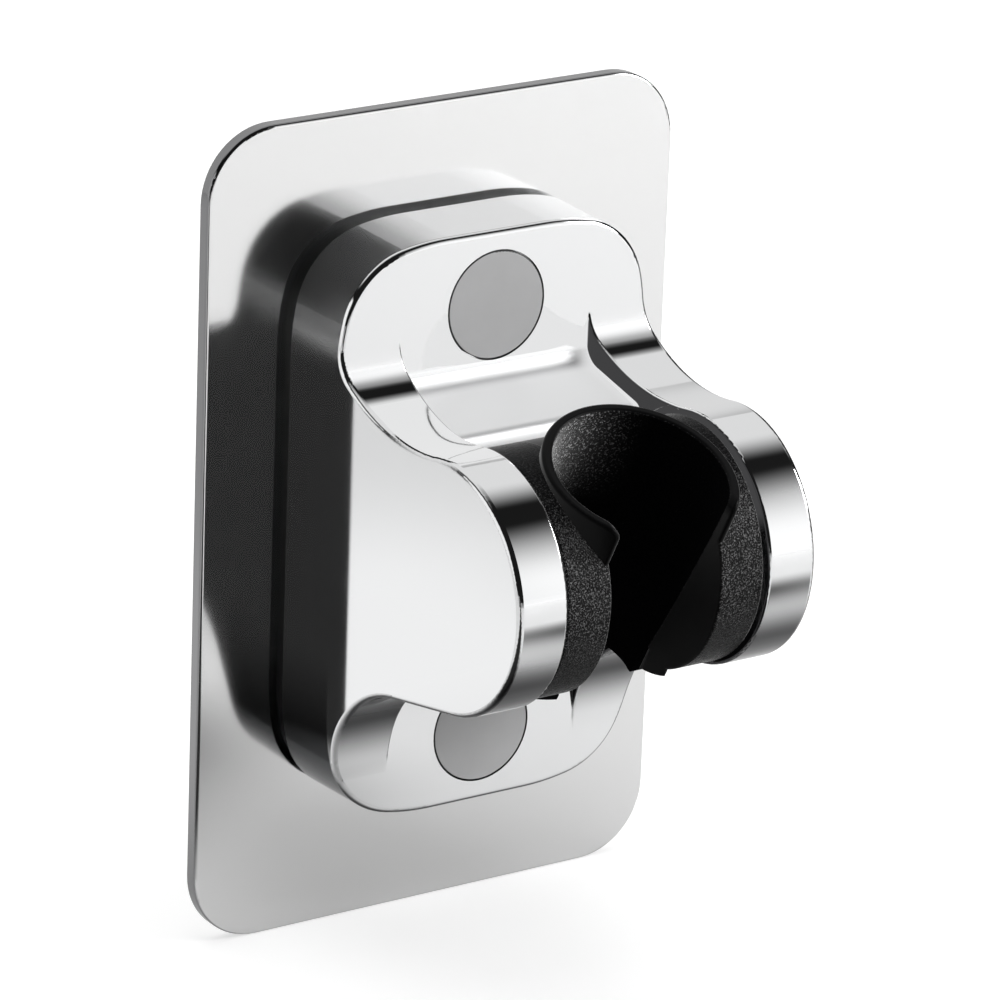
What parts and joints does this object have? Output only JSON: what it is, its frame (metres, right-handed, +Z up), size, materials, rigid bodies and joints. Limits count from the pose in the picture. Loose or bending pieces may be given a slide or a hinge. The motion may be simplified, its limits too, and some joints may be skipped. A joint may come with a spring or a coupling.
{
  "type": "hand shower holder",
  "caption": "Wall holder for a hand shower: adhesive steel plate, chromed housing with ears, and a tilting black cradle with a tapered socket and a hose slot.",
  "frame": {"origin": "middle of the adhesive back face, which lies on the wall", "axes": "+Z up, +Y into the wall, the front faces -Y, +X to the right as seen from the front"},
  "size_m": [0.077, 0.0611, 0.12],
  "materials": {
    "adhesive_foam": "matt acrylic foam",
    "plate_steel": "polished",
    "fastener_steel": "plain",
    "gasket_rubber": "matt",
    "housing_chrome": "mirror chrome on plastic",
    "cap_plastic": "matt grey",
    "cradle_plastic": "fine grain, satin on the rim",
    "disc_rubber": "matt"
  },
  "bodies": {
    "bracket": {"adhesive_pad": "adhesive_foam", "back_plate": "plate_steel", "plate_studs": "fastener_steel", "base_gasket": "gasket_rubber", "housing": "housing_chrome", "stud_washers": "fastener_steel", "stud_spring_washers": "fastener_steel", "stud_nuts": "fastener_steel", "upper_cap": "cap_plastic", "lower_cap": "cap_plastic"},
    "cradle_body": {"cradle": "cradle_plastic", "left_friction_disc": "disc_rubber", "right_friction_disc": "disc_rubber"}
  },
  "joints": [
    {"name": "cradle_tilt", "type": "hinge", "parent": "bracket", "child": "cradle_body", "pos_m": [0, -0.0424, 0.0054], "axis": [1, 0, 0], "range_deg": [-24, 36]}
  ]
}
